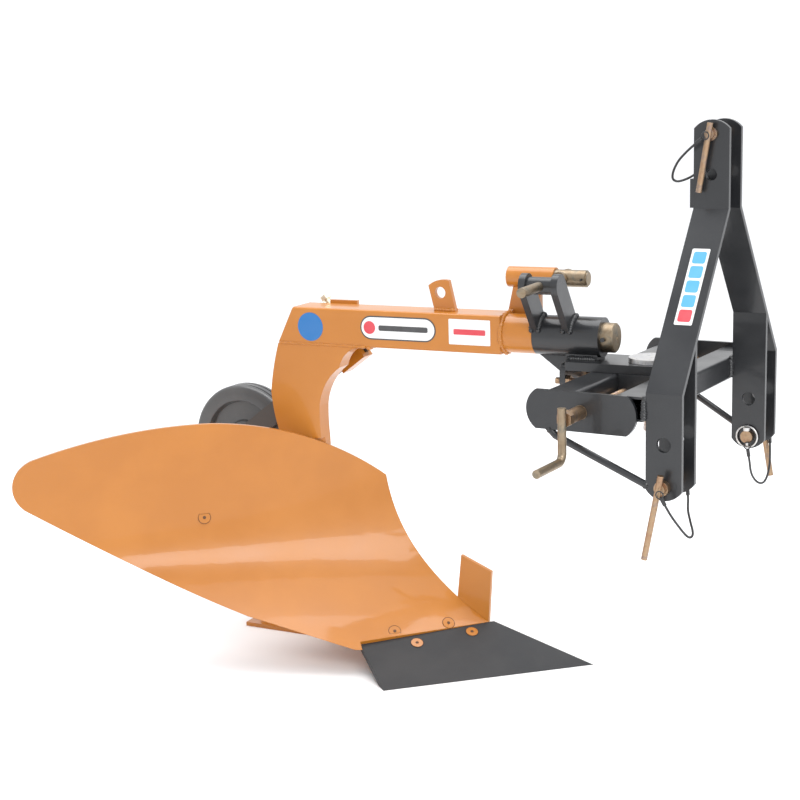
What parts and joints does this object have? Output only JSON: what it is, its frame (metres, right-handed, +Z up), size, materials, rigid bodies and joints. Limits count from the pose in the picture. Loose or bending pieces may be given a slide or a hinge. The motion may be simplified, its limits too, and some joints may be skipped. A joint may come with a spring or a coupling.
{
  "type": "mounted plough",
  "caption": "Mounted single-furrow plough: three-point headstock with side-shift crank, tilting square beam, curved mouldboard, share and depth wheel.",
  "frame": {"origin": "on the ground under the middle of the bounding box of the plough without its tethers", "axes": "+X forward to the tractor, +Y to the plough's left, +Z up"},
  "size_m": [1.1978, 0.8015, 0.997],
  "materials": {
    "headstock_paint": "charcoal grey gloss paint",
    "zinc_yellow": "yellow zinc plating",
    "bright_steel": "bright zinc plating",
    "plough_paint": "orange gloss paint",
    "share_steel": "dark grey satin paint",
    "zinc_cream": "pale zinc plating",
    "wheel_paint": "dark grey satin paint",
    "cord_cover": "black plastic coat on wire rope"
  },
  "bodies": {
    "headstock": {"mast_leg_right": "headstock_paint", "mast_leg_left": "headstock_paint", "inner_plate_right": "headstock_paint", "inner_plate_left": "headstock_paint", "mast_cross_plate": "headstock_paint", "front_crossbar": "headstock_paint", "rear_crossbar": "headstock_paint", "end_plate_right": "headstock_paint", "end_plate_left": "headstock_paint", "frame_welds": "headstock_paint", "brace_rods": "headstock_paint", "top_link_pin": "zinc_yellow", "lower_link_pin_right": "zinc_yellow", "lower_link_pin_left": "zinc_yellow", "linchpins": "bright_steel", "crank_bushes": "zinc_yellow", "tether_top": "cord_cover", "tether_right": "cord_cover", "tether_left": "cord_cover", "tether_fittings": "bright_steel"},
    "crank": {"crank_screw": "zinc_yellow", "crank_collar": "zinc_yellow", "crank_handle": "zinc_yellow", "crank_nut": "zinc_yellow"},
    "carriage": {"carriage_block": "headstock_paint", "pivot_pin": "zinc_yellow", "pivot_nut": "zinc_yellow"},
    "turret": {"turret_plate": "headstock_paint", "stop_lug": "headstock_paint", "stop_screw_nuts": "zinc_yellow", "pivot_tube": "headstock_paint", "turret_gusset": "headstock_paint", "tilt_lugs": "headstock_paint"},
    "right_stop": {"stop_screw_right": "zinc_yellow"},
    "left_stop": {"stop_screw_left": "zinc_yellow"},
    "trunnion_body": {"trunnion": "zinc_yellow"},
    "spindle": {"tilt_spindle": "zinc_yellow"},
    "tilt_shaft": {"cross_shaft": "zinc_yellow", "cross_shaft_pin": "bright_steel"},
    "plough_body": {"main_pin": "zinc_yellow", "main_pin_keeper": "bright_steel", "beam_socket": "plough_paint", "beam_tube": "plough_paint", "beam_end_cap": "plough_paint", "shaft_tube": "plough_paint", "shaft_bracket": "plough_paint", "lifting_eye": "plough_paint", "leg": "plough_paint", "plough_bolts": "bright_steel", "mouldboard": "plough_paint", "share": "share_steel", "landside": "plough_paint", "frog": "plough_paint", "shin_knife": "plough_paint", "board_strut": "plough_paint", "wheel_clamp": "plough_paint", "clamp_bolt": "zinc_cream"},
    "wheel_carrier": {"wheel_arm": "wheel_paint", "wheel_axle": "bright_steel"},
    "wheel": {"depth_wheel": "wheel_paint"}
  },
  "joints": [
    {"name": "crank_turn", "type": "hinge", "parent": "headstock", "child": "crank", "pos_m": [0.4209, 0.1002, 0.5425], "axis": [0, 1, 0], "range_deg": [-9900, 5400]},
    {"name": "carriage_slide", "type": "slide", "parent": "headstock", "child": "carriage", "axis": [0, 1, 0], "range_m": [-0.06, 0.11]},
    {"name": "turret_yaw", "type": "hinge", "parent": "carriage", "child": "turret", "pos_m": [0.4494, 0.1002, 0.574], "axis": [0, 0, 1], "range_deg": [-8.4, 0]},
    {"name": "right_stop_slide", "type": "slide", "parent": "turret", "child": "right_stop", "axis": [0.9973, 0.0739, 0], "range_m": [-0.012, 0]},
    {"name": "left_stop_slide", "type": "slide", "parent": "turret", "child": "left_stop", "axis": [0.9973, 0.0739, 0], "range_m": [-0.012, 0]},
    {"name": "beam_tilt", "type": "hinge", "parent": "turret", "child": "plough_body", "pos_m": [0.4494, 0.1002, 0.627], "axis": [0.9973, 0.0739, 0], "range_deg": [-10, 10]},
    {"name": "trunnion_swivel", "type": "hinge", "parent": "turret", "child": "trunnion_body", "pos_m": [0.2827, 0.01564, 0.723], "axis": [0.9973, 0.0739, 0], "range_deg": [-4, 4]},
    {"name": "spindle_slide", "type": "slide", "parent": "trunnion_body", "child": "spindle", "axis": [-0.0739, 0.9972, 0.0098], "range_m": [-0.018, 0.018]},
    {"name": "shaft_turn", "type": "hinge", "parent": "plough_body", "child": "tilt_shaft", "pos_m": [0.24773, 0.11533, 0.724], "axis": [0.9973, 0.0739, 0], "range_deg": [-8, 8]},
    {"name": "wheel_height_slide", "type": "slide", "parent": "plough_body", "child": "wheel_carrier", "axis": [0.7985, 0.0592, 0.599], "range_m": [-0.035, 0.1]},
    {"name": "wheel_spin", "type": "hinge", "parent": "wheel_carrier", "child": "wheel", "pos_m": [-0.43801, 0.03441, 0.36413], "axis": [-0.0739, 0.9973, 0], "continuous": true}
  ],
  "couplings": [
    {"joint": "crank_turn", "follows": "carriage_slide", "rad_per_m": -1570.8},
    {"joint": "trunnion_swivel", "follows": "beam_tilt", "ratio": 0.303},
    {"joint": "spindle_slide", "follows": "beam_tilt", "m_per_rad": -0.0967},
    {"joint": "shaft_turn", "follows": "beam_tilt", "ratio": -0.697}
  ]
}
